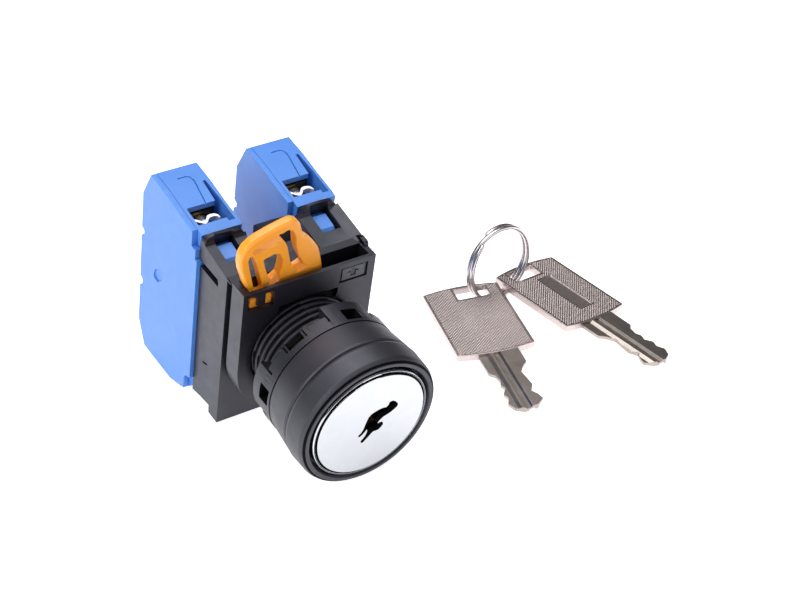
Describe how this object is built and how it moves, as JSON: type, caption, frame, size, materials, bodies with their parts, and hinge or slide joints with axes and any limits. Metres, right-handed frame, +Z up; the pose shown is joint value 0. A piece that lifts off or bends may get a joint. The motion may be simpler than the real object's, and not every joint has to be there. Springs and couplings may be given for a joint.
{
  "type": "selector key switch",
  "caption": "Key-operated selector switch for a round panel hole, with chromed face, black bezel, ring nut, orange locking lever, blue contact blocks and keys on a split ring.",
  "frame": {"origin": "centre of the bounding box on the ground plane the switch and its keys lie on", "axes": "+Z up from the ground, -Y the way the key face looks, +X to the right of someone facing the key face, towards the loose keys; the switch lies pitched nose down by about 10 degrees"},
  "size_m": [0.0954, 0.066, 0.0493],
  "materials": {
    "black_plastic": "moulded satin",
    "blue_plastic": "moulded satin",
    "orange_plastic": "moulded satin",
    "white_plastic": "moulded satin",
    "rubber": "matt",
    "chrome": "mirror",
    "zinc": "cast",
    "steel": "bright zinc plate",
    "copper_alloy": "plain",
    "nickel": "nickel plate"
  },
  "bodies": {
    "switch_body": {"bezel_ring": "black_plastic", "operator_body": "black_plastic", "panel_gasket": "rubber", "lock_barrel": "zinc", "mounting_adapter": "black_plastic", "contact_case_left": "blue_plastic", "contact_case_right": "blue_plastic", "contact_cover_left": "blue_plastic", "contact_cover_right": "blue_plastic", "fixed_contact_upper_left": "copper_alloy", "fixed_contact_lower_left": "copper_alloy", "fixed_contact_upper_right": "copper_alloy", "fixed_contact_lower_right": "copper_alloy"},
    "key_rotor": {"face_disc": "chrome", "lock_plug": "copper_alloy", "rotor_cam": "white_plastic", "cam_screw": "steel"},
    "plunger_set_left": {"plunger_left": "white_plastic", "contact_bridge_left": "copper_alloy", "return_spring_left": "steel"},
    "plunger_set_right": {"plunger_right": "white_plastic", "contact_bridge_right": "copper_alloy", "return_spring_right": "steel"},
    "lever": {"locking_lever": "orange_plastic"},
    "ring_nut": {"locking_ring": "black_plastic"},
    "screw_upper_left": {"terminal_screw_upper_left": "steel"},
    "clamp_upper_left": {"wire_clamp_upper_left": "steel"},
    "screw_lower_left": {"terminal_screw_lower_left": "steel"},
    "clamp_lower_left": {"wire_clamp_lower_left": "steel"},
    "screw_upper_right": {"terminal_screw_upper_right": "steel"},
    "clamp_upper_right": {"wire_clamp_upper_right": "steel"},
    "screw_lower_right": {"terminal_screw_lower_right": "steel"},
    "clamp_lower_right": {"wire_clamp_lower_right": "steel"},
    "key_ring": {"split_ring": "chrome"},
    "key_one": {"key_1": "nickel"},
    "key_two": {"key_2": "nickel"}
  },
  "joints": [
    {"name": "key_turn", "type": "hinge", "parent": "switch_body", "child": "key_rotor", "pos_m": [-0.03233, -0.03011, 0.01438], "axis": [0, -0.9847, -0.1745], "range_deg": [0, 90]},
    {"name": "plunger_push_left", "type": "slide", "parent": "switch_body", "child": "plunger_set_left", "axis": [0, 0.9847, 0.1745], "range_m": [0, 0.0022]},
    {"name": "plunger_push_right", "type": "slide", "parent": "switch_body", "child": "plunger_set_right", "axis": [0, 0.9847, 0.1745], "range_m": [0, 0.0022]},
    {"name": "lever_swing", "type": "hinge", "parent": "switch_body", "child": "lever", "pos_m": [-0.03233, -0.00431, 0.01895], "axis": [0, 0.9847, 0.1745], "range_deg": [0, 28]},
    {"name": "nut_turn", "type": "hinge", "parent": "switch_body", "child": "ring_nut", "pos_m": [-0.03233, -0.01504, 0.01705], "axis": [0, 0.9847, 0.1745], "continuous": true},
    {"name": "screw_turn_upper_left", "type": "hinge", "parent": "switch_body", "child": "screw_upper_left", "pos_m": [-0.04279, 0.01559, 0.03904], "axis": [0, -0.9847, -0.1745], "range_deg": [0, 720]},
    {"name": "clamp_travel_upper_left", "type": "slide", "parent": "switch_body", "child": "clamp_upper_left", "axis": [0, 0.9847, 0.1745], "range_m": [0, 0.0012]},
    {"name": "screw_turn_lower_left", "type": "hinge", "parent": "switch_body", "child": "screw_lower_left", "pos_m": [-0.04279, 0.02128, 0.00694], "axis": [0, -0.9847, -0.1745], "range_deg": [0, 720]},
    {"name": "clamp_travel_lower_left", "type": "slide", "parent": "switch_body", "child": "clamp_lower_left", "axis": [0, 0.9847, 0.1745], "range_m": [0, 0.0012]},
    {"name": "screw_turn_upper_right", "type": "hinge", "parent": "switch_body", "child": "screw_upper_right", "pos_m": [-0.02186, 0.01559, 0.03904], "axis": [0, -0.9847, -0.1745], "range_deg": [0, 720]},
    {"name": "clamp_travel_upper_right", "type": "slide", "parent": "switch_body", "child": "clamp_upper_right", "axis": [0, 0.9847, 0.1745], "range_m": [0, 0.0012]},
    {"name": "screw_turn_lower_right", "type": "hinge", "parent": "switch_body", "child": "screw_lower_right", "pos_m": [-0.02186, 0.02128, 0.00694], "axis": [0, -0.9847, -0.1745], "range_deg": [0, 720]},
    {"name": "clamp_travel_lower_right", "type": "slide", "parent": "switch_body", "child": "clamp_lower_right", "axis": [0, 0.9847, 0.1745], "range_m": [0, 0.0012]},
    {"name": "key_set_lift", "type": "slide", "parent": "switch_body", "child": "key_ring", "axis": [0, 0, 1], "range_m": [0, 0.06]},
    {"name": "key_1_fan", "type": "hinge", "parent": "key_ring", "child": "key_one", "pos_m": [0.02222, 0.0094, 0.0032], "axis": [0, 0, -1], "range_deg": [0, 12]},
    {"name": "key_2_fan", "type": "hinge", "parent": "key_ring", "child": "key_two", "pos_m": [0.03402, 0.01099, 0.0032], "axis": [0, 0, 1], "range_deg": [0, 12]}
  ],
  "couplings": [
    {"joint": "plunger_push_left", "follows": "key_turn", "m_per_rad": 0.0014},
    {"joint": "plunger_push_right", "follows": "key_turn", "m_per_rad": 0.0014},
    {"joint": "screw_turn_upper_left", "follows": "clamp_travel_upper_left", "rad_per_m": 10472},
    {"joint": "screw_turn_lower_left", "follows": "clamp_travel_lower_left", "rad_per_m": 10472},
    {"joint": "screw_turn_upper_right", "follows": "clamp_travel_upper_right", "rad_per_m": 10472},
    {"joint": "screw_turn_lower_right", "follows": "clamp_travel_lower_right", "rad_per_m": 10472}
  ]
}
